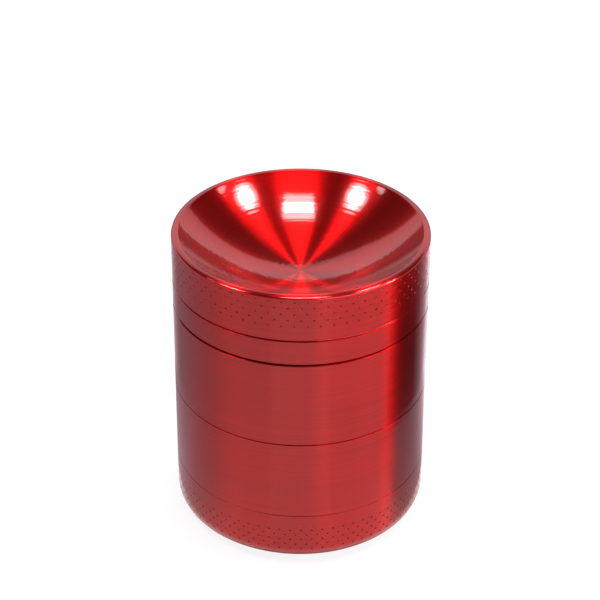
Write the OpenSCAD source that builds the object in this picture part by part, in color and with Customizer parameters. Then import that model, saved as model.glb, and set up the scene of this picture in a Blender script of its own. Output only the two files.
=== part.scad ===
// Four-part herb and spice grinder with a hollowed lid.
// The lid turns on the grinding chamber, which screws onto the storage chamber,
// which screws onto the base. The axis is Z, and the base stands on Z = 0.

/* [Body] */
// Outside diameter of all four sections
outer_d = 50; // [48:0.5:60]
// Wall between the outside and the root of an inside thread
wall_t = 2.25; // [1.8:0.05:3]
// Small chamfer on the outside edge at each seam
edge_break = 0.15; // [0.05:0.05:0.25]

/* [Threads] */
// Rise of one turn of each screw joint
thread_pitch = 1.8; // [1.6:0.1:1.9]
// Height of a thread ridge
thread_depth = 0.6; // [0.4:0.05:0.75]
// Turns of ridge on each threaded part
thread_turns = 1.1; // [0.8:0.05:1.1]
// Gap between the ridge tips and the opposite roots
thread_clear = 0.25; // [0.2:0.05:0.3]
// Length of each threaded neck
spigot_l = 4.5; // [4.4:0.1:4.8]
// Wall of each threaded neck, under the thread
spigot_wall = 1.3; // [1:0.1:2]
// Gap left under the end of each threaded neck
end_clear = 0.4; // [0.3:0.1:0.8]

/* [Base] */
// Height of the base seen from outside
base_h = 11.3; // [10.5:0.1:15]
// Thickness of the base floor at its middle
base_floor = 1.5; // [1:0.1:1.8]
// Radius of the rounded bottom edge
base_round = 3.8; // [2:0.1:4]
// Width of the level shelf around the dish
dish_shelf = 1.6; // [1:0.1:2.5]
// Radius of the dish's inside corner
dish_round = 3.5; // [2:0.1:4]

/* [Storage chamber] */
// Height of the storage chamber seen from outside
storage_h = 17; // [14:0.1:28]
// Width of the ledge that carries the screen
ledge_w = 1.3; // [1:0.1:2]

/* [Screen] */
// Thickness of the woven screen
screen_t = 0.25; // [0.2:0.05:0.4]
// Radial width of the hoop that presses on the screen
hoop_w = 1.1; // [0.8:0.1:1.5]
// Height of the hoop
hoop_h = 1; // [0.6:0.1:1.6]
// Radial width of the snap ring
snap_w = 1.2; // [1:0.1:1.5]
// Height of the snap ring
snap_h = 0.7; // [0.5:0.1:1]
// Depth of the snap ring in its groove
snap_grip = 0.5; // [0.3:0.1:0.8]
// Opening between the ends of the snap ring
snap_gap = 6; // [3:0.5:10]

/* [Grinding chamber] */
// Height of the grinding chamber between its two seams
chamber_h = 18.1; // [17:0.1:26]
// Thickness of the drilled floor
floor_t = 2.6; // [2:0.1:3.2]
// Height of the neck that the lid closes over
neck_h = 3.4; // [3.3:0.1:4]
// Wall of that neck
neck_wall = 1.5; // [1.2:0.1:1.8]
// Diameter of the drilled holes
hole_d = 3.2; // [2.4:0.1:3.4]
// Holes in the row nearest the post
inner_holes = 6; // [4:1:7]
// Holes in the next row, between the inner teeth
middle_holes = 9; // [7:1:10]
// Holes in the outer row
outer_holes = 14; // [10:1:16]

/* [Teeth] */
// Radial width of a tooth
tooth_w = 2.8; // [2:0.1:3]
// Length of a tooth along its row
tooth_l = 3.6; // [2.8:0.1:4]
// Height of a tooth, in the chamber and in the lid
tooth_h = 11.5; // [9:0.1:13]
// Teeth in the lid's inner row
lid_inner_teeth = 6; // [4:1:8]
// Teeth in the lid's outer row
lid_outer_teeth = 15; // [10:1:18]
// Teeth in the chamber's inner row, one between each two holes
chamber_inner_teeth = 9; // [7:1:10]
// Teeth in the chamber's outer row
chamber_outer_teeth = 18; // [12:1:22]

/* [Magnets] */
// Diameter of each magnet
magnet_d = 8; // [6:0.5:9]
// Thickness of each magnet
magnet_t = 2; // [1.5:0.1:2.5]
// Wall around each magnet
boss_wall = 1.2; // [0.8:0.1:1.4]
// Metal between the lid's magnet and the underside of the lid
boss_cap = 1.4; // [0.8:0.1:2]
// Gap between the two magnets
magnet_gap = 0.5; // [0.3:0.1:1]

/* [Lid] */
// Height of the lid
lid_h = 14.7; // [14:0.1:18]
// Gap between the lid and the chamber's shoulder
lid_gap = 0.3; // [0.2:0.05:0.5]
// Wall of the skirt around the neck
skirt_wall = 1.7; // [1.4:0.1:2]
// Depth of the hollow in the top
bowl_depth = 9.1; // [6:0.1:10]
// Width of the rim around the hollow
rim_w = 1.35; // [1.1:0.05:2.5]
// Radius of the rounded outer edge of the rim
rim_round = 0.6; // [0.3:0.05:0.9]
// Height of the turned groove above the skirt's edge
groove_z = 5.2; // [2:0.1:7]
// Width of the turned groove
groove_w = 0.45; // [0.2:0.05:0.6]
// Depth of the turned groove
groove_d = 0.2; // [0.1:0.05:0.4]
// Metal under the middle of the hollow
lid_floor = 3.6; // [3.2:0.1:4.5]

/* [Friction ring] */
// Height of the plastic ring that the lid turns on
ring_h = 3.1; // [2:0.1:3.2]
// Radial thickness of the plastic ring
ring_t = 0.7; // [0.5:0.05:0.9]
// Running gap between the ring and the neck
ring_clear = 0.08; // [0.05:0.01:0.15]

/* [Hidden] */
$fn = 96;
red = [0.62, 0.05, 0.06];
eps = 0.02;              // overshoot of cutting tools
fit_gap = 0.05;          // radial gap of a seated disc or ring
ridge_step = 7.5;        // degrees between sections of a thread ridge
ridge_bury = 0.15;       // how far a ridge reaches into its wall
ridge_fade = 5;          // sections over which a ridge runs out
ridge_tip = 0.3;         // half width of a ridge at its tip
ridge_root = 0.55;       // half width of a ridge at its root
running_gap = 0.3;       // gap between the lid and the chamber where they pass
sink = 1;                // how far a tooth or neck reaches into what carries it

// Radii, from the outside in
outer_r = outer_d / 2;
socket_r = outer_r - wall_t;                  // root of an inside thread
spigot_crest_r = socket_r - thread_clear;     // tip of an outside thread
spigot_r = spigot_crest_r - thread_depth;     // root of an outside thread
socket_crest_r = socket_r - thread_depth;     // tip of an inside thread
bore_r = spigot_r - spigot_wall;              // inside of a threaded neck
skirt_r = outer_r - skirt_wall;               // inside of the lid's skirt
ring_outer_r = skirt_r - ring_clear;
neck_r = skirt_r - ring_clear * 2 - ring_t;
chamber_r = neck_r - neck_wall;               // inside of the grinding chamber
boss_r = magnet_d / 2 + boss_wall;

// Heights, from the table up
storage_z = base_h;
chamber_z = storage_z + storage_h;
shoulder_z = chamber_z + chamber_h;
lid_z = shoulder_z + lid_gap;
lid_top = lid_z + lid_h;
rim_r = outer_r - rim_w;
bowl_bottom = lid_top - bowl_depth;
bowl_r = (rim_r * rim_r + bowl_depth * bowl_depth) / (2 * bowl_depth);
ceiling_z = bowl_bottom - lid_floor;          // underside of the lid between the teeth
ring_top = shoulder_z + ring_h;
neck_top = shoulder_z + neck_h;
plug_r = chamber_r - running_gap;             // the lid's middle, inside the neck
floor_top = chamber_z + floor_t;

// Rows of teeth share the space between the boss and the chamber wall
row_count = 4;
row_pitch = (chamber_r - boss_r) / row_count;
function row_r(i) = boss_r + (i + 0.5) * row_pitch;
lid_boss_bottom = ceiling_z - magnet_t - boss_cap;
post_top = lid_boss_bottom - magnet_gap;

// Seats of the screen parts, on the ledge in the storage chamber
screen_r = bore_r;
ledge_r = bore_r - ledge_w;
screen_z = storage_z;
hoop_z = screen_z + screen_t;
snap_z = hoop_z + hoop_h;
snap_outer_r = bore_r + snap_grip;

// A straight ring from radius a to radius b
module ring(a, b, h) {
    difference() {
        cylinder(r = b, h = h);
        translate([0, 0, -eps]) cylinder(r = a, h = h + 2 * eps);
    }
}

// A turned outside wall with a small chamfer at each end
module turned_wall(h, r = outer_r, c = edge_break) {
    rotate_extrude() polygon([[0, 0], [r - c, 0], [r, c], [r, h - c], [r - c, h], [0, h]]);
}

// Half width of a thread ridge at share t of its height
function ridge_half(t) = ridge_root + (ridge_tip - ridge_root) * t;

// One cross-section of a ridge: four corners at angle a and height z
function ridge_section(root, tip, a, z, share) =
    let (side = tip > root ? 1 : -1, buried = root - side * ridge_bury,
         crest = root + (tip - root) * share, w0 = ridge_half(-ridge_bury / thread_depth),
         w1 = ridge_half(share))
    [for (p = [[buried, -w0], [crest, -w1], [crest, w1], [buried, w0]])
        [p[0] * cos(a), p[0] * sin(a), z + p[1]]];

// Two triangles of each side of a ridge between sections i and i + 1
function ridge_sides(n) = [for (i = [0 : n - 1], k = [0 : 3])
    let (a = 4 * i + k, b = 4 * i + (k + 1) % 4)
    each [[a, b, b + 4], [a, b + 4, a + 4]]];

// A right-hand thread ridge that starts at height z and runs out at both ends
module thread_ridge(root, tip, z) {
    n = floor(thread_turns * 360 / ridge_step);
    sections = [for (i = [0 : n])
        ridge_section(root, tip, i * ridge_step, z + thread_pitch * i * ridge_step / 360,
                      min(1, (min(i, n - i) + 1) / ridge_fade))];
    points = [for (s = sections) each s];
    ends = [[0, 3, 2], [0, 2, 1], [4 * n, 4 * n + 1, 4 * n + 2], [4 * n, 4 * n + 2, 4 * n + 3]];
    faces = concat(ridge_sides(n), ends);
    flipped = [for (f = faces) [f[0], f[2], f[1]]];
    polyhedron(points, tip > root ? faces : flipped);
}

// Height of the first ridge section of the neck under the seam at height z
function ridge_start(z) = z - spigot_l + ridge_root + edge_break;

// Plain neck that hangs below a section whose lower face is at height z
module neck_blank(z) {
    translate([0, 0, z - spigot_l]) turned_wall(spigot_l + sink, spigot_r);
}

// Ridge on the outside of that neck
module neck_ridge(z) {
    thread_ridge(spigot_r, spigot_crest_r, ridge_start(z));
}

// Socket cut down from height z for the neck
module socket_cut(z) {
    depth = spigot_l + end_clear;
    translate([0, 0, z - depth]) cylinder(r = socket_r, h = depth + sink);
}

// Ridge inside that socket, half a turn from the neck's
module socket_ridge(z) {
    thread_ridge(socket_r, socket_crest_r, ridge_start(z) + thread_pitch / 2);
}

// Disc that rounds a corner of a turned profile
module corner_disc(x, z, r) {
    translate([x, z]) circle(r = r);
}

// Dish that collects the fine powder
module base() {
    dish_top = base_h - spigot_l - end_clear;
    dish_r = bore_r - dish_shelf;
    corner_r = min(dish_round, dish_top - base_floor);
    color(red) {
        difference() {
            rotate_extrude() union() {
                square([outer_r - base_round, base_h]);
                translate([0, base_round]) square([outer_r, base_h - base_round - edge_break]);
                corner_disc(outer_r - base_round, base_round, base_round);
                translate([0, base_h - edge_break])
                    polygon([[0, 0], [outer_r, 0], [outer_r - edge_break, edge_break], [0, edge_break]]);
            }
            socket_cut(base_h);
            rotate_extrude() union() {
                translate([0, base_floor]) square([dish_r - corner_r, base_h]);
                translate([0, base_floor + corner_r]) square([dish_r, base_h]);
                corner_disc(dish_r - corner_r, base_floor + corner_r, corner_r);
            }
        }
        socket_ridge(base_h);
    }
}

// Middle section that holds the ground herb, with the ledge for the screen
module storage_chamber() {
    color(red) {
        difference() {
            union() {
                translate([0, 0, storage_z]) turned_wall(storage_h);
                neck_blank(storage_z);
            }
            socket_cut(chamber_z);
            translate([0, 0, screen_z]) cylinder(r = bore_r + fit_gap, h = storage_h);
            translate([0, 0, storage_z - spigot_l - sink]) cylinder(r = ledge_r, h = storage_h);
            translate([0, 0, snap_z - fit_gap])
                cylinder(r = snap_outer_r + fit_gap, h = snap_h + 2 * fit_gap);
        }
        neck_ridge(storage_z);
        socket_ridge(chamber_z);
    }
}

// Fine woven screen
module screen_mesh() {
    color("gainsboro") translate([0, 0, screen_z]) cylinder(r = screen_r, h = screen_t);
}

// Plain hoop that lies on the edge of the screen
module screen_hoop() {
    color("silver") translate([0, 0, hoop_z]) ring(bore_r - hoop_w, bore_r, hoop_h);
}

// Open spring ring that snaps into the wall above the hoop
module screen_snap_ring() {
    color("dimgray") translate([0, 0, snap_z]) difference() {
        ring(snap_outer_r - snap_w, snap_outer_r, snap_h);
        translate([0, -snap_gap / 2, -eps]) cube([outer_r, snap_gap, snap_h + 2 * eps]);
    }
}

// A diamond tooth in row i, standing on height z
module tooth(i, z, h) {
    translate([row_r(i), 0, z]) linear_extrude(h)
        polygon([[-tooth_w / 2, 0], [0, -tooth_l / 2], [tooth_w / 2, 0], [0, tooth_l / 2]]);
}
module tooth_row(i, count, z, h, turn = 0) {
    for (k = [0 : count - 1]) rotate(turn + k * 360 / count) tooth(i, z, h);
}

// A row of drilled holes through the chamber floor
module hole_row(i, count, turn = 0) {
    for (k = [0 : count - 1]) rotate(turn + k * 360 / count)
        translate([row_r(i), 0, chamber_z - eps]) cylinder(d = hole_d, h = floor_t + 2 * eps);
}

// Section with the lower teeth, the drilled floor, the neck and the magnet's post
module grinding_chamber() {
    color(red) {
        difference() {
            union() {
                translate([0, 0, chamber_z]) turned_wall(chamber_h);
                translate([0, 0, shoulder_z - sink]) turned_wall(neck_h + sink, neck_r);
                neck_blank(chamber_z);
            }
            translate([0, 0, floor_top]) cylinder(r = chamber_r, h = chamber_h + neck_h);
            translate([0, 0, chamber_z - spigot_l - sink]) cylinder(r = bore_r, h = spigot_l + sink);
            hole_row(0, inner_holes);
            hole_row(1, middle_holes, 180 / middle_holes);
            hole_row(2, outer_holes);
        }
        tooth_row(1, chamber_inner_teeth, floor_top - sink, tooth_h + sink);
        tooth_row(3, chamber_outer_teeth, floor_top - sink, tooth_h + sink);
        difference() {
            translate([0, 0, floor_top - sink]) cylinder(r = boss_r, h = post_top - floor_top + sink);
            translate([0, 0, post_top - magnet_t])
                cylinder(d = magnet_d + 2 * fit_gap, h = magnet_t + sink);
        }
        neck_ridge(chamber_z);
    }
}

// Magnet in the top of the chamber's post
module chamber_magnet() {
    color("lightgray") translate([0, 0, post_top - magnet_t]) cylinder(d = magnet_d, h = magnet_t);
}

// Plastic ring around the neck, which carries the lid
module friction_ring() {
    color("whitesmoke") translate([0, 0, shoulder_z])
        ring(neck_r + ring_clear, ring_outer_r, ring_h);
}

// Lid with the hollow in its top and the upper teeth under it
module lid() {
    neck_room = neck_top + running_gap;
    color(red) {
        difference() {
            union() {
                difference() {
                    translate([0, 0, lid_z]) rotate_extrude() union() {
                        polygon([[0, 0], [outer_r - edge_break, 0], [outer_r, edge_break],
                            [outer_r, groove_z - groove_w / 2], [outer_r - groove_d, groove_z],
                            [outer_r, groove_z + groove_w / 2], [outer_r, lid_h - rim_round],
                            [0, lid_h - rim_round]]);
                        square([outer_r - rim_round, lid_h]);
                        corner_disc(outer_r - rim_round, lid_h - rim_round, rim_round);
                    }
                    translate([0, 0, lid_z - sink]) cylinder(r = skirt_r, h = ring_top - lid_z + sink);
                    translate([0, 0, lid_z - sink])
                        cylinder(r = neck_r + ring_clear, h = neck_room - lid_z + sink);
                }
                translate([0, 0, ceiling_z]) cylinder(r = plug_r, h = neck_room - ceiling_z + sink);
                translate([0, 0, lid_boss_bottom]) cylinder(r = boss_r, h = ceiling_z - lid_boss_bottom + sink);
            }
            translate([0, 0, lid_boss_bottom - sink])
                cylinder(d = magnet_d + 2 * fit_gap, h = magnet_t + sink);
            translate([0, 0, bowl_bottom + bowl_r]) sphere(r = bowl_r);
        }
        tooth_row(0, lid_inner_teeth, ceiling_z - tooth_h, tooth_h + sink);
        tooth_row(2, lid_outer_teeth, ceiling_z - tooth_h, tooth_h + sink);
    }
}

// Magnet in the lid's boss
module lid_magnet() {
    color("lightgray") translate([0, 0, lid_boss_bottom]) cylinder(d = magnet_d, h = magnet_t);
}

base();
storage_chamber();
screen_mesh();
screen_hoop();
screen_snap_ring();
grinding_chamber();
chamber_magnet();
friction_ring();
lid();
lid_magnet();
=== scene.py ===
"""A red anodised herb grinder: four turned sections, a hollowed lid and two knurled bands."""

import math
import random

import bmesh
import bpy
from mathutils import Matrix, Vector


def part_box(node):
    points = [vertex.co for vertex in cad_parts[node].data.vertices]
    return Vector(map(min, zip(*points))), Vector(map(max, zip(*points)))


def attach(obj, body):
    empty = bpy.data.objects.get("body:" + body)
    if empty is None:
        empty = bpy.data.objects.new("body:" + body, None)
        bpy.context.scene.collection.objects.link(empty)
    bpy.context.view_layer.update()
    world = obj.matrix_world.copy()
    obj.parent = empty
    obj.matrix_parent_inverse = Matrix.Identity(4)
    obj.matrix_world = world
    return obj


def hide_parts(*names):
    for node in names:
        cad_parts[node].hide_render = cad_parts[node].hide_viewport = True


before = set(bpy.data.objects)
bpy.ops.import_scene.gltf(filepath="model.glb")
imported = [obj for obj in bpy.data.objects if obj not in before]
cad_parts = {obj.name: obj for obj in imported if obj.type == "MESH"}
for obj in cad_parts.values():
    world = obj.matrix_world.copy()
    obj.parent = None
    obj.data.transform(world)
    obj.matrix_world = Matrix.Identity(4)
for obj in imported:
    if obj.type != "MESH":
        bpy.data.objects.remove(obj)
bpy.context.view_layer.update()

# ---------------------------------------------------------------- sizes, in metres
MM = 0.001

# from the frame
base_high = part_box("base")[1]
magnet_low, magnet_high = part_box("chamber_magnet")
lid_magnet_low, lid_magnet_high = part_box("lid_magnet")
snap_low, snap_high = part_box("screen_snap_ring")
ring_low, ring_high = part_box("friction_ring")

OUTER_R = base_high.x
BASE_TOP = base_high.z
STORAGE_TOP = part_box("storage_chamber")[1].z
SHOULDER_Z = ring_low.z
NECK_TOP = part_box("grinding_chamber")[1].z
LID_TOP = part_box("lid")[1].z
RING_TOP = ring_high.z
LEDGE_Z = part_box("screen_mesh")[0].z
MAGNET_R = magnet_high.x

# breaks of the edges, and gaps between parts
EDGE_BREAK = 0.15 * MM
FINE_BREAK = 0.08 * MM
FIT_GAP = 0.05 * MM
RUNNING_GAP = 0.3 * MM

# screw joints
PITCH = 1.8 * MM
RIDGE_TURNS = 1.1
RIDGE_DEPTH = 0.6 * MM
RIDGE_CLEAR = 0.25 * MM
RIDGE_ROOT = 0.55 * MM
RIDGE_TIP = 0.3 * MM
RIDGE_SUNK = 0.1 * MM
RIDGE_FADE = 8                  # steps over which a ridge runs out
RIDGE_STEP = math.radians(5)
SPIGOT_L = 4.5 * MM
END_CLEAR = 0.4 * MM
WALL_T = 2.25 * MM
SPIGOT_WALL = 1.3 * MM
SOCKET_R = OUTER_R - WALL_T
SPIGOT_R = SOCKET_R - RIDGE_CLEAR - RIDGE_DEPTH
BORE_R = SPIGOT_R - SPIGOT_WALL

# base
BASE_FLOOR = 1.5 * MM
BASE_ROUND = 3.8 * MM
DISH_INSET = 1.6 * MM
DISH_R = BORE_R - DISH_INSET
DISH_ROUND = 3.5 * MM
BASE_ROUND_STEPS = 14
DISH_ROUND_STEPS = 12

# storage chamber
LEDGE_W = 1.3 * MM
LEDGE_R = BORE_R - LEDGE_W

# grinding chamber
FLOOR_T = 2.6 * MM
SKIRT_T = 1.7 * MM
RING_T = 0.7 * MM
RING_CLEAR = 0.08 * MM
NECK_T = 1.5 * MM
BOSS_T = 1.2 * MM
SKIRT_R = OUTER_R - SKIRT_T
NECK_R = SKIRT_R - 2 * RING_CLEAR - RING_T
CHAMBER_R = NECK_R - NECK_T
BOSS_R = MAGNET_R + BOSS_T
HOLE_R = 1.6 * MM
HOLE_SIDES = 32
HOLES = ((0, 6, 0.0), (1, 9, 0.5), (2, 14, 0.0))    # (circle, holes in it, turn in hole steps)
DRILL_OVERRUN = 1 * MM

# teeth, in circles between the post and the chamber's wall
TOOTH_W = 2.8 * MM
TOOTH_L = 3.6 * MM
TOOTH_H = 11.5 * MM
TOOTH_BREAK = 0.25 * MM
TOOTH_SUNK = 0.5 * MM
CIRCLES = 4
CIRCLE_PITCH = (CHAMBER_R - BOSS_R) / CIRCLES
CHAMBER_TEETH = ((1, 9), (3, 18))       # (circle, teeth in it)
LID_TEETH = ((0, 6), (2, 15))

# lid
LID_GAP = 0.3 * MM
LID_Z = SHOULDER_Z + LID_GAP
BOWL_DEPTH = 9.1 * MM
LID_FLOOR = 3.6 * MM
RIM_W = 1.35 * MM
RIM_ROUND = 0.5 * MM
RIM_DROP = 0.1 * MM             # the rim's fall from the lip to its rounded edge
RIM_START = 80                  # degrees at which the rounded edge leaves the rim
RIM_STEPS = 10
LIP_W = 0.12 * MM
LIP_IN = 0.4 * LIP_W
LIP_DOWN = 0.35 * LIP_W
GROOVE_RISE = 5.2 * MM
GROOVE_Z = LID_Z + GROOVE_RISE
GROOVE_W = 0.45 * MM
GROOVE_D = 0.2 * MM
BOWL_BOTTOM = LID_TOP - BOWL_DEPTH
CEILING_Z = BOWL_BOTTOM - LID_FLOOR
BOSS_BOTTOM = lid_magnet_low.z

# knurled bands: staggered rows of small round pits, from the top row down
BAND_ROWS = 5
LID_PITS = 64
LID_PITS_TURN = math.radians(-92.7)
LID_ROW_TOP = 0.97 * MM
LID_ROW_PITCH = 1.31 * MM
LID_ROWS = [LID_TOP - LID_ROW_TOP - LID_ROW_PITCH * row for row in range(BAND_ROWS)]
BASE_PITS = 74
BASE_PITS_TURN = math.radians(-89.4)
BASE_ROW_TOP = 3.4 * MM
BASE_ROW_PITCH = 1.12 * MM
BASE_ROWS = [BASE_TOP - BASE_ROW_TOP - BASE_ROW_PITCH * row for row in range(BAND_ROWS)]
PIT_MARGIN = 0.35 * MM
PIT_R = 0.21 * MM
PIT_DEPTH = 0.19 * MM
PIT_STEPS = ((1.1, 0.0), (0.98, 0.12), (0.72, 0.85))    # (share of PIT_R, share of PIT_DEPTH)
CELL_SPLITS = 4
CELL_START = math.radians(210)  # towards the corner at which a cell's outline starts
SIDES = BASE_PITS * CELL_SPLITS         # of the base, which the two plain sections share
LID_SIDES = LID_PITS * CELL_SPLITS

# marks of the turning tool
MARK_PITCH = 0.13 * MM
MARK_DEPTH = 0.010 * MM
BOWL_STEPS = 120
BOWL_MARK_PITCH = 0.3 * MM
BOWL_MARK_DEPTH = 0.017 * MM
MARK_SEED = 11
marks = random.Random(MARK_SEED)

# mesh limits
ON_AXIS = 1e-9
WELD = 1e-7
SHARP_EDGE = math.radians(30)


# ---------------------------------------------------------------- mesh tools
def on_circle(r, angle, z):
    return Vector((r * math.cos(angle), r * math.sin(angle), z))


def arc(centre_r, centre_z, radius, start, end, steps):
    """Points of an arc in the profile plane, from one angle to another, in degrees."""
    points = []
    for i in range(steps + 1):
        a = math.radians(start + (end - start) * i / steps)
        points.append((centre_r + radius * math.cos(a), centre_z + radius * math.sin(a)))
    return points


def turned(points, pitch=MARK_PITCH, depth=MARK_DEPTH, hollow=False):
    """Splits a profile at the tool's pitch and cuts the tool's faint unevenness into it."""
    fine = [points[0]]
    for (r0, z0), (r1, z1) in zip(points, points[1:]):
        length = math.hypot(r1 - r0, z1 - z0)
        steps = max(1, round(length / pitch))
        for i in range(steps):
            t = (i + 1) / steps
            dip = marks.random() * depth / length
            side = abs(z1 - z0) * dip if hollow else -abs(z1 - z0) * dip
            fine.append((r0 + (r1 - r0) * t + side, z0 + (z1 - z0) * t - abs(r1 - r0) * dip))
    fine[-1] = points[-1]
    return fine


def revolve(bm, profile, count, turn=0.0):
    """Turns an open profile of (radius, height) points about Z."""
    rings = []
    for r, z in profile:
        if r < ON_AXIS:
            rings.append([bm.verts.new((0, 0, z))] * count)
        else:
            step = 2 * math.pi / count
            rings.append([bm.verts.new(on_circle(r, turn + step * k, z)) for k in range(count)])
    for low, high in zip(rings, rings[1:]):
        for k in range(count):
            n = (k + 1) % count
            corners = []
            for v in (low[k], low[n], high[n], high[k]):
                if v not in corners:
                    corners.append(v)
            bm.faces.new(corners)


def wall_radius(z, corner):
    """Outside radius at height z of a wall whose bottom edge is rounded."""
    drop = max(0.0, corner - z)
    return OUTER_R - corner + math.sqrt(corner ** 2 - drop ** 2)


def pit_cell(bm, heights, angle, width, corner):
    """One cell of a knurled band: the wall around a round pit, and the pit."""
    z_low, mid, z_high = heights
    q = width / CELL_SPLITS
    edge = [(i * q - width / 2, z_low) for i in range(CELL_SPLITS + 1)]
    edge += [(width / 2, mid)]
    edge += [(width / 2 - i * q, z_high) for i in range(CELL_SPLITS + 1)]
    edge += [(-width / 2, mid)]
    loops = [[bm.verts.new(on_circle(wall_radius(z, corner), angle + a, z)) for a, z in edge]]
    step = 2 * math.pi / len(edge)
    for share, depth in PIT_STEPS:
        loop = []
        for i in range(len(edge)):
            a = CELL_START + i * step
            side = PIT_R * share * math.cos(a) / OUTER_R
            z = mid + PIT_R * share * math.sin(a)
            loop.append(bm.verts.new(
                on_circle(wall_radius(z, corner) - PIT_DEPTH * depth, angle + side, z)))
        loops.append(loop)
    bottom = bm.verts.new(on_circle(wall_radius(mid, corner) - PIT_DEPTH, angle, mid))
    for outer, inner in zip(loops, loops[1:]):
        for i in range(len(edge)):
            n = (i + 1) % len(edge)
            bm.faces.new((outer[i], outer[n], inner[n], inner[i]))
    for i in range(len(edge)):
        bm.faces.new((loops[-1][i], loops[-1][(i + 1) % len(edge)], bottom))


def knurled_band(bm, rows, pits, turn, corner=0.0):
    """Rows of pits that step half a pitch from row to row. Returns the band's two edges."""
    width = 2 * math.pi / pits
    seams = [rows[0] + PIT_MARGIN]
    seams += [(high + low) / 2 for high, low in zip(rows, rows[1:])]
    seams += [rows[-1] - PIT_MARGIN]
    for row, mid in enumerate(rows):
        shift = turn + (width / 2 if row % 2 else 0)
        for k in range(pits):
            pit_cell(bm, (seams[row + 1], mid, seams[row]), shift + k * width, width, corner)
    return seams[-1], seams[0]


def thread_ridge(bm, root, tip, z):
    """A right-hand thread ridge on a wall of radius root, which runs out at both ends."""
    side = 1 if tip > root else -1
    count = int(RIDGE_TURNS * 2 * math.pi / RIDGE_STEP)
    sections = []
    for i in range(count + 1):
        share = min(1.0, (min(i, count - i) + 0.5) / RIDGE_FADE)
        crest = root + (tip - root) * share
        w = RIDGE_ROOT + (RIDGE_TIP - RIDGE_ROOT) * share
        buried = root - side * RIDGE_SUNK
        height = z + PITCH * i * RIDGE_STEP / (2 * math.pi)
        corners = ((buried, -RIDGE_ROOT), (crest, -w), (crest, w), (buried, RIDGE_ROOT))
        sections.append([bm.verts.new(on_circle(r, i * RIDGE_STEP, height + dz))
                         for r, dz in corners])
    for a, b in zip(sections, sections[1:]):
        for k in range(4):
            n = (k + 1) % 4
            bm.faces.new((a[k], a[n], b[n], b[k]))
    bm.faces.new(sections[0])
    bm.faces.new(sections[-1])


def neck_ridge(bm, seam):
    """The ridge on the neck under a seam, which starts at the neck's end."""
    start = seam - SPIGOT_L + RIDGE_ROOT + EDGE_BREAK
    thread_ridge(bm, SPIGOT_R, SPIGOT_R + RIDGE_DEPTH, start)


def socket_ridge(bm, seam):
    """The ridge in the socket under a seam, half a pitch above the neck's."""
    start = seam - SPIGOT_L + RIDGE_ROOT + EDGE_BREAK + PITCH / 2
    thread_ridge(bm, SOCKET_R, SOCKET_R - RIDGE_DEPTH, start)


def prism(bm, outline, low, high):
    """A closed upright prism over an outline of (x, y) points."""
    bottom = [bm.verts.new((x, y, low)) for x, y in outline]
    top = [bm.verts.new((x, y, high)) for x, y in outline]
    for i in range(len(outline)):
        n = (i + 1) % len(outline)
        bm.faces.new((bottom[i], bottom[n], top[n], top[i]))
    bm.faces.new(bottom)
    bm.faces.new(top)


def circle_radius(circle):
    """Radius of a circle of teeth or holes, counted from the middle out."""
    return BOSS_R + (circle + 0.5) * CIRCLE_PITCH


def tooth_circles(bm, circles, low, high, free_end):
    """Diamond teeth in circles, each with a small bevel at its free end, "low" or "high"."""
    low_inset = TOOTH_BREAK if free_end == "low" else 0
    high_inset = TOOTH_BREAK if free_end == "high" else 0
    levels = ((low, low_inset), (low + TOOTH_BREAK, 0), (high - TOOTH_BREAK, 0), (high, high_inset))
    for circle, count in circles:
        r = circle_radius(circle)
        for k in range(count):
            turn = Matrix.Rotation(2 * math.pi * k / count, 3, "Z")
            rings = []
            for z, inset in levels:
                diamond = ((TOOTH_W / 2 - inset, 0), (0, TOOTH_L / 2 - inset),
                           (inset - TOOTH_W / 2, 0), (0, inset - TOOTH_L / 2))
                rings.append([bm.verts.new(turn @ Vector((r + x, y, z))) for x, y in diamond])
            for a, b in zip(rings, rings[1:]):
                for i in range(4):
                    n = (i + 1) % 4
                    bm.faces.new((a[i], a[n], b[n], b[i]))
            bm.faces.new(rings[0])
            bm.faces.new(rings[-1])


def finish_mesh(bm, name):
    """Welds, turns the faces outward, marks the sharp edges and makes the object."""
    bmesh.ops.remove_doubles(bm, verts=bm.verts, dist=WELD)
    bmesh.ops.recalc_face_normals(bm, faces=bm.faces)
    for face in bm.faces:
        face.smooth = True
    for edge in bm.edges:
        edge.smooth = edge.calc_face_angle(0.0) < SHARP_EDGE
    mesh = bpy.data.meshes.new(name)
    bm.to_mesh(mesh)
    bm.free()
    piece = bpy.data.objects.new(name, mesh)
    bpy.context.scene.collection.objects.link(piece)
    return piece


# ---------------------------------------------------------------- the four turned sections
def socket_profile(top, edge=EDGE_BREAK):
    """From the outside edge at the top of a section down to the bottom of its threaded socket."""
    return [(OUTER_R, top - edge), (OUTER_R - edge, top),
            (SOCKET_R + EDGE_BREAK, top), (SOCKET_R, top - EDGE_BREAK),
            (SOCKET_R, top - SPIGOT_L - END_CLEAR)]


def spigot_profile(seam, bore, edge=EDGE_BREAK):
    """From the bore of a threaded neck around its end and up to the outside of its section."""
    end = seam - SPIGOT_L
    return [(bore, end + EDGE_BREAK), (bore + EDGE_BREAK, end), (SPIGOT_R - EDGE_BREAK, end),
            (SPIGOT_R, end + EDGE_BREAK), (SPIGOT_R, seam), (OUTER_R - edge, seam),
            (OUTER_R, seam + edge)]


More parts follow.
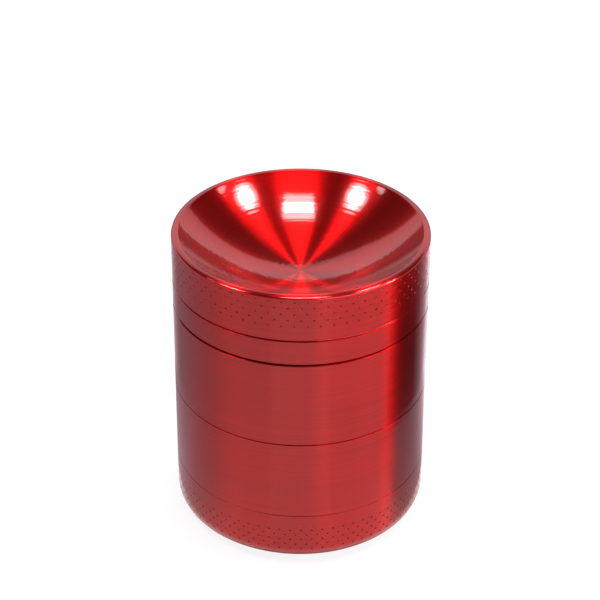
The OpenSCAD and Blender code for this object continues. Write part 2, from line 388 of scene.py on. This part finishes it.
def make_base():
    """The cup at the bottom: knurled band, rounded edge, threaded socket and dished floor."""
    bm = bmesh.new()
    band_low, band_high = knurled_band(bm, BASE_ROWS, BASE_PITS, BASE_PITS_TURN, BASE_ROUND)
    socket_end = BASE_TOP - SPIGOT_L - END_CLEAR
    upper = turned([(OUTER_R, band_high), (OUTER_R, BASE_TOP - FINE_BREAK)])
    upper += socket_profile(BASE_TOP, FINE_BREAK)[1:]
    upper += [(DISH_R + EDGE_BREAK, socket_end), (DISH_R, socket_end - EDGE_BREAK)]
    upper += arc(DISH_R - DISH_ROUND, BASE_FLOOR + DISH_ROUND, DISH_ROUND, 0, -90,
                 DISH_ROUND_STEPS)
    upper += [(0, BASE_FLOOR)]
    band_end = -math.degrees(math.asin(1 - band_low / BASE_ROUND))
    lower = arc(OUTER_R - BASE_ROUND, BASE_ROUND, BASE_ROUND, band_end, -90, BASE_ROUND_STEPS)
    lower += [(0, 0)]
    revolve(bm, upper, SIDES, BASE_PITS_TURN)
    revolve(bm, lower, SIDES, BASE_PITS_TURN)
    socket_ridge(bm, BASE_TOP)
    return finish_mesh(bm, "base_section")


def make_storage():
    """The tube over the base: neck, ledge and groove for the screen, and threaded socket."""
    bm = bmesh.new()
    bore = BORE_R + FIT_GAP
    groove_low = snap_low.z - FIT_GAP
    groove_high = snap_high.z + FIT_GAP
    groove_r = FIT_GAP - snap_low.x
    profile = [(LEDGE_R, LEDGE_Z)]
    profile += spigot_profile(BASE_TOP, LEDGE_R, FINE_BREAK)[:-1]
    profile += turned([(OUTER_R, BASE_TOP + FINE_BREAK), (OUTER_R, STORAGE_TOP - EDGE_BREAK)])
    profile += socket_profile(STORAGE_TOP)[1:]
    profile += [(bore, STORAGE_TOP - SPIGOT_L - END_CLEAR), (bore, groove_high),
                (groove_r, groove_high), (groove_r, groove_low), (bore, groove_low),
                (bore, LEDGE_Z), (LEDGE_R, LEDGE_Z)]
    revolve(bm, profile, SIDES)
    neck_ridge(bm, BASE_TOP)
    socket_ridge(bm, STORAGE_TOP)
    return finish_mesh(bm, "storage_section")


def make_chamber():
    """The grinding chamber: neck below, drilled floor, magnet post, teeth and the lid's neck."""
    bm = bmesh.new()
    floor_top = STORAGE_TOP + FLOOR_T
    post_top = magnet_high.z
    pocket_r = MAGNET_R + FIT_GAP
    profile = [(0, STORAGE_TOP), (BORE_R, STORAGE_TOP)]
    profile += spigot_profile(STORAGE_TOP, BORE_R)[:-1]
    profile += turned([(OUTER_R, STORAGE_TOP + EDGE_BREAK), (OUTER_R, SHOULDER_Z - EDGE_BREAK)])
    profile += [(OUTER_R - EDGE_BREAK, SHOULDER_Z), (NECK_R, SHOULDER_Z),
                (NECK_R, NECK_TOP - EDGE_BREAK), (NECK_R - EDGE_BREAK, NECK_TOP),
                (CHAMBER_R + EDGE_BREAK, NECK_TOP), (CHAMBER_R, NECK_TOP - EDGE_BREAK),
                (CHAMBER_R, floor_top), (BOSS_R, floor_top), (BOSS_R, post_top - EDGE_BREAK),
                (BOSS_R - EDGE_BREAK, post_top), (pocket_r + EDGE_BREAK, post_top),
                (pocket_r, post_top - EDGE_BREAK), (pocket_r, magnet_low.z), (0, magnet_low.z)]
    revolve(bm, profile, SIDES)
    tooth_circles(bm, CHAMBER_TEETH, floor_top - TOOTH_SUNK, floor_top + TOOTH_H, "high")
    neck_ridge(bm, STORAGE_TOP)
    piece = finish_mesh(bm, "grinding_section")
    drill_holes(piece)
    return piece


def drill_holes(piece):
    """Cuts the circles of round holes through the chamber's floor."""
    bm = bmesh.new()
    for circle, holes, turn in HOLES:
        for k in range(holes):
            centre = on_circle(circle_radius(circle), 2 * math.pi * (k + turn) / holes, 0)
            outline = []
            for i in range(HOLE_SIDES):
                a = 2 * math.pi * i / HOLE_SIDES
                outline.append((centre.x + HOLE_R * math.cos(a), centre.y + HOLE_R * math.sin(a)))
            prism(bm, outline, STORAGE_TOP - DRILL_OVERRUN, STORAGE_TOP + FLOOR_T + DRILL_OVERRUN)
    drills = finish_mesh(bm, "drills")
    cut = piece.modifiers.new("holes", "BOOLEAN")
    cut.operation = "DIFFERENCE"
    cut.solver = "EXACT"
    cut.use_self = True
    cut.object = drills
    depsgraph = bpy.context.evaluated_depsgraph_get()
    drilled = bpy.data.meshes.new_from_object(piece.evaluated_get(depsgraph))
    piece.modifiers.clear()
    piece.data = drilled
    bpy.data.objects.remove(drills)


def make_lid():
    """The lid: bowl, rounded rim, knurled band, groove and skirt, with teeth and magnet boss."""
    bm = bmesh.new()
    band_low, band_high = knurled_band(bm, LID_ROWS, LID_PITS, LID_PITS_TURN)
    rim_r = OUTER_R - RIM_W
    bowl_r = (rim_r ** 2 + BOWL_DEPTH ** 2) / (2 * BOWL_DEPTH)
    rim_angle = math.degrees(math.asin(rim_r / bowl_r))
    bowl = turned(arc(0, BOWL_BOTTOM + bowl_r, bowl_r, -90, -90 + rim_angle, BOWL_STEPS),
                  BOWL_MARK_PITCH, BOWL_MARK_DEPTH, hollow=True)
    upper = bowl[:-1]
    upper += [(rim_r - LIP_IN, LID_TOP - LIP_DOWN), (rim_r + LIP_W, LID_TOP)]
    upper += arc(OUTER_R - RIM_ROUND, LID_TOP - RIM_DROP - RIM_ROUND, RIM_ROUND, RIM_START, 0,
                 RIM_STEPS)
    upper += [(OUTER_R, band_high)]
    neck_room = NECK_TOP + RUNNING_GAP
    plug_r = CHAMBER_R - RUNNING_GAP
    pocket_r = MAGNET_R + FIT_GAP
    lower = [(OUTER_R, band_low), (OUTER_R, GROOVE_Z + GROOVE_W / 2),
             (OUTER_R - GROOVE_D, GROOVE_Z)]
    lower += turned([(OUTER_R, GROOVE_Z - GROOVE_W / 2), (OUTER_R, LID_Z + EDGE_BREAK)])
    lower += [(OUTER_R - EDGE_BREAK, LID_Z), (SKIRT_R + EDGE_BREAK, LID_Z),
              (SKIRT_R, LID_Z + EDGE_BREAK), (SKIRT_R, RING_TOP), (NECK_R + RING_CLEAR, RING_TOP),
              (NECK_R + RING_CLEAR, neck_room), (plug_r, neck_room),
              (plug_r, CEILING_Z + EDGE_BREAK), (plug_r - EDGE_BREAK, CEILING_Z),
              (BOSS_R, CEILING_Z), (BOSS_R, BOSS_BOTTOM + EDGE_BREAK),
              (BOSS_R - EDGE_BREAK, BOSS_BOTTOM), (pocket_r + EDGE_BREAK, BOSS_BOTTOM),
              (pocket_r, BOSS_BOTTOM + EDGE_BREAK), (pocket_r, lid_magnet_high.z),
              (0, lid_magnet_high.z)]
    revolve(bm, upper, LID_SIDES, LID_PITS_TURN)
    revolve(bm, lower, LID_SIDES, LID_PITS_TURN)
    tooth_circles(bm, LID_TEETH, CEILING_Z - TOOTH_H, CEILING_Z + TOOTH_SUNK, "low")
    return finish_mesh(bm, "lid_section")


# ---------------------------------------------------------------- shader tools
class Wire:
    """A shader socket. Arithmetic on it adds Math nodes to its tree."""

    def __init__(self, nodes, socket):
        self.nodes = nodes
        self.socket = socket

    def output(self, name):
        """Another output of the same node."""
        return Wire(self.nodes, self.socket.node.outputs[name])

    def math(self, operation, *values):
        return self.nodes.add("ShaderNodeMath", {"operation": operation}, *values)

    def __add__(self, other):
        return self.math("ADD", self, other)

    def __radd__(self, other):
        return self.math("ADD", other, self)

    def __sub__(self, other):
        return self.math("SUBTRACT", self, other)

    def __rsub__(self, other):
        return self.math("SUBTRACT", other, self)

    def __mul__(self, other):
        return self.math("MULTIPLY", self, other)

    def __rmul__(self, other):
        return self.math("MULTIPLY", other, self)

    def __truediv__(self, other):
        return self.math("DIVIDE", self, other)

    def __rtruediv__(self, other):
        return self.math("DIVIDE", other, self)

    def __pow__(self, other):
        return self.math("POWER", self, other)

    def __rpow__(self, other):
        return self.math("POWER", other, self)


class Nodes:
    """The node tree of a material or of the world, and the one way its nodes are added."""

    def __init__(self, owner):
        self.owner = owner
        owner.use_nodes = True
        self.tree = owner.node_tree
        self.tree.nodes.clear()

    def add(self, kind, settings=None, *values, **named):
        """Adds a node: its settings first, then the values or wires of its sockets.

        Returns its first output, where it has one.
        """
        node = self.tree.nodes.new(kind)
        for key, value in (settings or {}).items():
            if key == "stops":
                self.set_stops(node.color_ramp, value)
            else:
                setattr(node, key, value)
        sockets = list(zip(node.inputs, values))
        used = [socket for socket in node.inputs if socket.enabled]
        for key, value in named.items():
            sockets.append((next(s for s in used if s.name == key.replace("_", " ")), value))
        for socket, value in sockets:
            if isinstance(value, Wire):
                self.tree.links.new(value.socket, socket)
            else:
                socket.default_value = value
        outputs = [socket for socket in node.outputs if socket.enabled]
        return Wire(self, outputs[0]) if outputs else None

    def set_stops(self, ramp, stops):
        """Gives a ramp its stops, each a place and a colour."""
        while len(ramp.elements) < len(stops):
            ramp.elements.new(0.5)
        for element, (place, colour) in zip(ramp.elements, stops):
            element.position = place
            element.color = colour

    def position(self):
        """Where a point of the piece is at rest, in metres."""
        return self.add("ShaderNodeTexCoord").output("Object")

    def axes(self, vector):
        """The three numbers of a vector."""
        parts = self.add("ShaderNodeSeparateXYZ", None, vector)
        return [parts.output(axis) for axis in "XYZ"]

    def vector(self, x, y, z):
        return self.add("ShaderNodeCombineXYZ", None, x, y, z)

    def noise(self, vector, scale, detail):
        return self.add("ShaderNodeTexNoise", {"noise_dimensions": "3D"}, Vector=vector,
                        Scale=scale, Detail=detail)

    def turned_place(self):
        """X, Y and the tool's travel over a turned piece, which is height plus radius."""
        x, y, z = self.axes(self.position())
        return x, y, z + (x * x + y * y) ** 0.5

    def rings(self, place, around, across, detail):
        """Noise drawn out into rings, with its scales around the piece and across the rings."""
        x, y, travel = place
        return self.noise(self.vector(x * around, y * around, travel * across), 1.0, detail)

    def bump(self, height, strength, distance):
        return self.add("ShaderNodeBump", None, Strength=strength, Distance=distance, Height=height)

    def mix(self, factor, first, second):
        """Blends two colours."""
        return self.add("ShaderNodeMix", {"data_type": "RGBA"}, Factor=factor, A=first, B=second)

    def surface(self, **named):
        """Ends a material's tree in a Principled surface, and returns the material."""
        shader = self.add("ShaderNodeBsdfPrincipled", None, **named)
        self.add("ShaderNodeOutputMaterial", None, Surface=shader)
        return self.owner


def new_finish(name):
    return Nodes(bpy.data.materials.new(name))


# ---------------------------------------------------------------- finishes
RED_DEEP = (0.345, 0.0020, 0.0022, 1)
RED_BRIGHT = (0.52, 0.0036, 0.0032, 1)
NYLON_DARK = (0.72, 0.72, 0.69, 1)
NYLON_LIGHT = (0.86, 0.86, 0.84, 1)
# painted shade: the dark colour of the openings between the screen's wires
WEAVE_GAP_SHADE = (0.12, 0.12, 0.12, 1)
WEAVE_WIRE = (0.62, 0.62, 0.63, 1)
WIRE_PITCH = 0.32 * MM

# noise scales in cells to the metre, those of rings around the piece and across them
BROAD_RINGS = (12.0, 2600.0)
FINE_RINGS = (30.0, 9000.0)
PLAIN_RINGS = (20.0, 5000.0)
NYLON_GRAIN = 900.0
BROAD_SHARE = 0.6
STREAK_CONTRAST = 2.0


def red_anodised():
    """Turned aluminium, dyed red: fine rings left by the tool, under a clear oxide skin."""
    finish = new_finish("red_anodised")
    place = finish.turned_place()
    broad = finish.rings(place, *BROAD_RINGS, 3.0)
    fine = finish.rings(place, *FINE_RINGS, 2.0)
    both = broad * BROAD_SHARE + fine * (1 - BROAD_SHARE)
    streaks = (both - 0.5) * STREAK_CONTRAST + 0.5
    return finish.surface(
        Base_Color=finish.mix(streaks, RED_DEEP, RED_BRIGHT), Metallic=0.92,
        Specular_IOR_Level=0.0, Roughness=streaks * 0.06 + 0.31,
        Anisotropic=1.0, Anisotropic_Rotation=0.25,
        Coat_Weight=1.0, Coat_Roughness=0.08, Coat_IOR=1.42,
        Normal=finish.bump(streaks, 0.5, 0.012 * MM))


def plain_metal(name, light, dark, roughness, anisotropic=0.5):
    """Bare turned or drawn metal with faint rings."""
    finish = new_finish(name)
    rings = finish.rings(finish.turned_place(), *PLAIN_RINGS, 2.0)
    return finish.surface(
        Base_Color=finish.mix(rings, dark, light), Metallic=1.0,
        Roughness=rings * 0.1 + roughness, Anisotropic=anisotropic,
        Normal=finish.bump(rings, 0.2, 0.01 * MM))


def white_nylon():
    """Moulded plastic with a fine grain."""
    finish = new_finish("white_nylon")
    grain = finish.noise(finish.position(), NYLON_GRAIN, 3.0)
    return finish.surface(
        Base_Color=finish.mix(grain, NYLON_DARK, NYLON_LIGHT),
        Roughness=grain * 0.15 + 0.42, Normal=finish.bump(grain, 0.15, 0.02 * MM))


def woven_steel():
    """Plain weave: wires both ways, each over one and under the next; the openings between them are
    painted dark as shade.
    """
    finish = new_finish("woven_steel")
    x, y, _ = finish.axes(finish.position())
    wave = math.pi / WIRE_PITCH
    over = finish.add("ShaderNodeMath", {"operation": "SINE"}, x * wave)
    under = finish.add("ShaderNodeMath", {"operation": "SINE"}, y * wave)
    weave = over * under * 0.5 + 0.5
    across = finish.add("ShaderNodeMath", {"operation": "ABSOLUTE"}, over)
    along = finish.add("ShaderNodeMath", {"operation": "ABSOLUTE"}, under)
    wires = finish.add("ShaderNodeMath", {"operation": "MAXIMUM"}, across, along)
    # the openings between the wires are painted dark as shade
    return finish.surface(
        Base_Color=finish.mix(wires, WEAVE_GAP_SHADE, WEAVE_WIRE), Metallic=1.0,
        Roughness=0.32 + weave * 0.1, Normal=finish.bump(wires + weave * 0.5, 0.8, 0.05 * MM))


# ---------------------------------------------------------------- camera
FRAME_PX = 600
FOCAL_PX = 2097.7
ASIDE_PX = -0.66
SENSOR_W = 36
CAMERA_TILT = math.radians(32.04)       # how far it looks down
CAMERA_RISE = math.radians(31.90)       # how high it stands, seen from the aim
CAMERA_ROLL = math.radians(0.274)
CAMERA_FAR = 16.424 * OUTER_R
AIM_RISE = 18.25 * MM
AIM_Z = STORAGE_TOP + AIM_RISE


def make_camera():
    data = bpy.data.cameras.new("camera")
    data.sensor_width = SENSOR_W
    data.lens = FOCAL_PX / FRAME_PX * SENSOR_W
    data.clip_start = 0.01
    data.clip_end = 20
    camera = bpy.data.objects.new("camera", data)
    aside = ASIDE_PX / FOCAL_PX * CAMERA_FAR
    camera.location = (aside, -CAMERA_FAR * math.cos(CAMERA_RISE),
                       AIM_Z + CAMERA_FAR * math.sin(CAMERA_RISE))
    tilt = Matrix.Rotation(math.pi / 2 - CAMERA_TILT, 4, "X")
    camera.rotation_euler = (tilt @ Matrix.Rotation(CAMERA_ROLL, 4, "Z")).to_euler()
    bpy.context.scene.collection.objects.link(camera)
    bpy.context.scene.camera = camera


# ---------------------------------------------------------------- floor and sky
FLOOR_R = 3.0
FLOOR_SIDES = 64
FLOOR_DROP = 0.02 * MM
FLOOR_DARK = (0.13, 0.13, 0.13, 1)
FLOOR_LIGHT = (0.15, 0.15, 0.15, 1)
FLOOR_GLOW = 0.86
FLOOR_GRAIN = 40.0
SKY_STOPS = ((0.12, (0.95, 0.95, 0.95, 1)), (0.3, (0.05, 0.05, 0.05, 1)))   # (height, colour)


def make_floor():
    bm = bmesh.new()
    step = 2 * math.pi / FLOOR_SIDES
    bm.faces.new([bm.verts.new(on_circle(FLOOR_R, step * k, -FLOOR_DROP))
                  for k in range(FLOOR_SIDES)])
    floor = finish_mesh(bm, "floor")
    finish = new_finish("pale_floor")
    grain = finish.noise(finish.position(), FLOOR_GRAIN, 2.0)
    floor.data.materials.append(finish.surface(
        Base_Color=finish.mix(grain, FLOOR_DARK, FLOOR_LIGHT), Roughness=0.9,
        Specular_IOR_Level=0.0, Emission_Color=(1, 1, 1, 1), Emission_Strength=FLOOR_GLOW))


def make_sky():
    """A room that is white at the horizon and dark overhead."""
    room = Nodes(bpy.data.worlds.new("room"))
    bpy.context.scene.world = room.owner
    direction = room.add("ShaderNodeTexCoord").output("Generated")
    height = room.axes(direction)[2]
    colour = room.add("ShaderNodeValToRGB", {"stops": SKY_STOPS}, height)
    light = room.add("ShaderNodeBackground", None, Color=colour, Strength=1.0)
    room.add("ShaderNodeOutputWorld", None, Surface=light)


# ---------------------------------------------------------------- soft boxes
LIGHT_REACH = 0.6
CORE_REACH = 0.59               # a box's brighter core hangs just in front of it
SIDE_AZIMUTH = 101
SIDE_RISE = 62.3
SPILL_RISE = 49
TOP_DIRECTION = (180, 85.4)
TOP_ASIDE = 0.013


def softbox(name, direction, size, power, shape="RECTANGLE", aside=0.0, reach=LIGHT_REACH):
    """A flat light of a size in metres and a power in watts, facing the grinder.

    Its direction is (azimuth, elevation) in degrees, with azimuth 0 at the front.
    """
    azimuth, elevation = (math.radians(a) for a in direction)
    back = Vector((math.sin(azimuth) * math.cos(elevation),
                   -math.cos(azimuth) * math.cos(elevation), math.sin(elevation)))
    data = bpy.data.lights.new(name, "AREA")
    data.shape = shape
    data.size, data.size_y = size
    data.energy = power
    lamp = bpy.data.objects.new(name, data)
    lamp.location = Vector((0, 0, LID_TOP / 2)) + back * reach + Vector((aside, 0, 0))
    lamp.rotation_euler = (-back).to_track_quat("-Z", "Y").to_euler()
    bpy.context.scene.collection.objects.link(lamp)


def make_lights():
    softbox("top_box", TOP_DIRECTION, (0.155, 0.18), 1.5, aside=TOP_ASIDE)
    softbox("top_core", TOP_DIRECTION, (0.155, 0.08), 1.2, aside=TOP_ASIDE, reach=CORE_REACH)
    for side, azimuth in (("left", -SIDE_AZIMUTH), ("right", SIDE_AZIMUTH)):
        direction = (azimuth, SIDE_RISE)
        softbox(side + "_box", direction, (0.20, 0.13), 0.7, "ELLIPSE")
        softbox(side + "_core", direction, (0.14, 0.09), 1.1, "ELLIPSE", reach=CORE_REACH)
        softbox(side + "_spill", (azimuth, SPILL_RISE), (0.09, 0.045), 0.1, "ELLIPSE")
    softbox("front_box", (46, 22), (0.70, 0.10), 2.0)
    softbox("edge_box", (80, 22), (0.09, 0.12), 1.3)


# ---------------------------------------------------------------- cards that only reflections show
CARD_LOW = 0.1 * MM
CARD_HIGH = 50 * MM
CARD_R = 58 * MM
CARD_STEPS = 24
# the flat cards on the floor carry painted floor shade
FLOOR_SHADE_PROFILE = ((28 * MM, CARD_LOW), (CARD_R, CARD_LOW))
UPRIGHT_PROFILE = ((CARD_R, CARD_LOW), (CARD_R, CARD_HIGH))
# the ring under the base's edge carries painted contact shadow
CONTACT_SHADOW_PROFILE = ((21 * MM, CARD_LOW), (24.6 * MM, CARD_LOW))

# how bright each card is along it, as (azimuth in degrees, radiance)
# painted shade: the flat card on the floor at each side dims where the floor lies in shade round
# the grinder, seen only in reflections
LEFT_FLOOR_SHADE = ((-150, 0.32), (-120, 0.40), (-95, 0.52), (-80, 0.54), (-67, 0.56), (-51, 0.74),
            (-41, 0.87), (-20, 1.0))
LEFT_WALL = ((-150, 0.9), (-135, 0.55), (-119, 0.27), (-96, 0.4), (-80, 0.5), (-67, 0.54),
             (-51, 0.74), (-41, 0.87), (-20, 1.0))
# painted shade of the floor at the right, seen only in reflections
RIGHT_FLOOR_SHADE = ((20, 1.0), (41, 0.84), (51, 0.78), (62, 0.60), (69, 0.42), (95, 0.40),
             (108, 0.48), (120, 0.6), (132, 0.95))
RIGHT_WALL = ((20, 1.0), (41, 0.84), (51, 0.78), (62, 0.62), (68, 0.4), (70, 0.12),
              (76, 0.03), (101, 0.02), (108, 0.14), (121, 0.5), (135, 1.6))
# painted contact shadow: a dim ring on the floor under the base's edge, seen only in reflections
FOOT_CONTACT_SHADOW = ((-180, 0.28), (180, 0.28))
TINT_FROM = 75                  # past this azimuth the side cards are faintly magenta
TINT_GREEN = 0.87

# the white wall behind the grinder, as (across, height of its dark foot, height of its top)
BACK_Y = 0.6
BACK_OUTLINE = ((-0.9, 0.10, 0.30), (-0.6, 0.14, 0.37), (-0.45, 0.18, 0.48), (-0.33, 0.23, 0.58),
                (-0.2, 0.24, 0.58), (0.0, 0.24, 0.50), (0.22, 0.26, 0.49), (0.33, 0.20, 0.50),
                (0.6, 0.14, 0.50), (0.9, 0.10, 0.49))
BACK_COLOUR = (1, 0.96, 1, 1)
BACK_GLOW = 1.15
BACK_FOOT_GLOW = 0.06


def stage_card(bm, name, finish, colour, glow):
    """Makes a card that glows in reflections alone: no camera, diffuse light or shadow meets it."""
    card = finish_mesh(bm, name)
    card.data.materials.append(finish.surface(
        Base_Color=(0, 0, 0, 1), Specular_IOR_Level=0.0, Emission_Color=colour,
        Emission_Strength=glow))
    card.visible_camera = False
    card.visible_diffuse = False
    card.visible_shadow = False


def round_card(name, stops, profile):
    """A card that curves round the grinder, from its first stop's azimuth to its last one's."""
    bm = bmesh.new()
    start, end = stops[0][0], stops[-1][0]
    columns = []
    for k in range(CARD_STEPS + 1):
        a = math.radians(start + (end - start) * k / CARD_STEPS - 90)
        columns.append([bm.verts.new(on_circle(r, a, z)) for r, z in profile])
    for a, b in zip(columns, columns[1:]):
        for k in range(len(profile) - 1):
            bm.faces.new((a[k], b[k], b[k + 1], a[k + 1]))
    finish = new_finish(name)
    x, y, _ = finish.axes(finish.position())
    middle = math.radians((start + end) / 2)
    forward = x * math.sin(middle) - y * math.cos(middle)
    sideways = x * math.cos(middle) + y * math.sin(middle)
    angle = finish.add("ShaderNodeMath", {"operation": "ARCTAN2"}, sideways, forward)
    share = angle / math.radians(end - start) + 0.5
    ramp = []
    for azimuth, level in stops:
        green = TINT_GREEN if TINT_FROM < abs(azimuth) < 180 else 1.0
        ramp.append(((azimuth - start) / (end - start), (level, level * green, level, 1)))
    colour = finish.add("ShaderNodeValToRGB", {"stops": ramp}, share)
    stage_card(bm, name, finish, colour, glow=1.0)


def back_wall(name, columns, glow):
    """A strip of the wall, whose columns are (across, lower height, upper height)."""
    bm = bmesh.new()
    pairs = [(bm.verts.new((x, BACK_Y, low)), bm.verts.new((x, BACK_Y, high)))
             for x, low, high in columns]
    for (a, b), (c, d) in zip(pairs, pairs[1:]):
        bm.faces.new((a, c, d, b))
    stage_card(bm, name, new_finish(name), BACK_COLOUR, glow)


def make_cards():
    foot_columns = [(x, 0.0, foot) for x, foot, _ in BACK_OUTLINE]
    back_wall("back_wall", BACK_OUTLINE, BACK_GLOW)
    back_wall("back_wall_foot", foot_columns, BACK_FOOT_GLOW)
    # flat cards of painted floor shade at both sides
    round_card("left_floor_shade", LEFT_FLOOR_SHADE, FLOOR_SHADE_PROFILE)
    round_card("left_wall", LEFT_WALL, UPRIGHT_PROFILE)
    round_card("right_floor_shade", RIGHT_FLOOR_SHADE, FLOOR_SHADE_PROFILE)
    round_card("right_wall", RIGHT_WALL, UPRIGHT_PROFILE)
    # the ring of painted contact shadow under the base
    round_card("foot_contact_shadow", FOOT_CONTACT_SHADOW, CONTACT_SHADOW_PROFILE)


# ---------------------------------------------------------------- building
SECTIONS = ((make_base, "base", "base"), (make_storage, "storage_chamber", "storage"),
            (make_chamber, "grinding_chamber", "chamber"), (make_lid, "lid", "lid"))

make_camera()
make_floor()
make_sky()
make_lights()
make_cards()
bpy.context.scene.view_settings.view_transform = "Standard"

red = red_anodised()
for make, node, body in SECTIONS:
    section = make()
    section.data.materials.clear()
    section.data.materials.append(red)
    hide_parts(node)
    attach(section, body)

magnet_plating = plain_metal("magnet_plating", (0.82, 0.81, 0.79, 1), (0.7, 0.69, 0.67, 1),
                             roughness=0.12, anisotropic=0.0)
finishes = {
    "screen_mesh": woven_steel(),
    "screen_hoop": plain_metal("hoop_metal", (0.8, 0.8, 0.81, 1), (0.6, 0.6, 0.61, 1),
                               roughness=0.28),
    "screen_snap_ring": plain_metal("spring_steel", (0.42, 0.42, 0.44, 1), (0.26, 0.26, 0.28, 1),
                                    roughness=0.3),
    "chamber_magnet": magnet_plating,
    "lid_magnet": magnet_plating,
    "friction_ring": white_nylon(),
}
for node, material in finishes.items():
    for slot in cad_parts[node].material_slots:
        slot.material = material
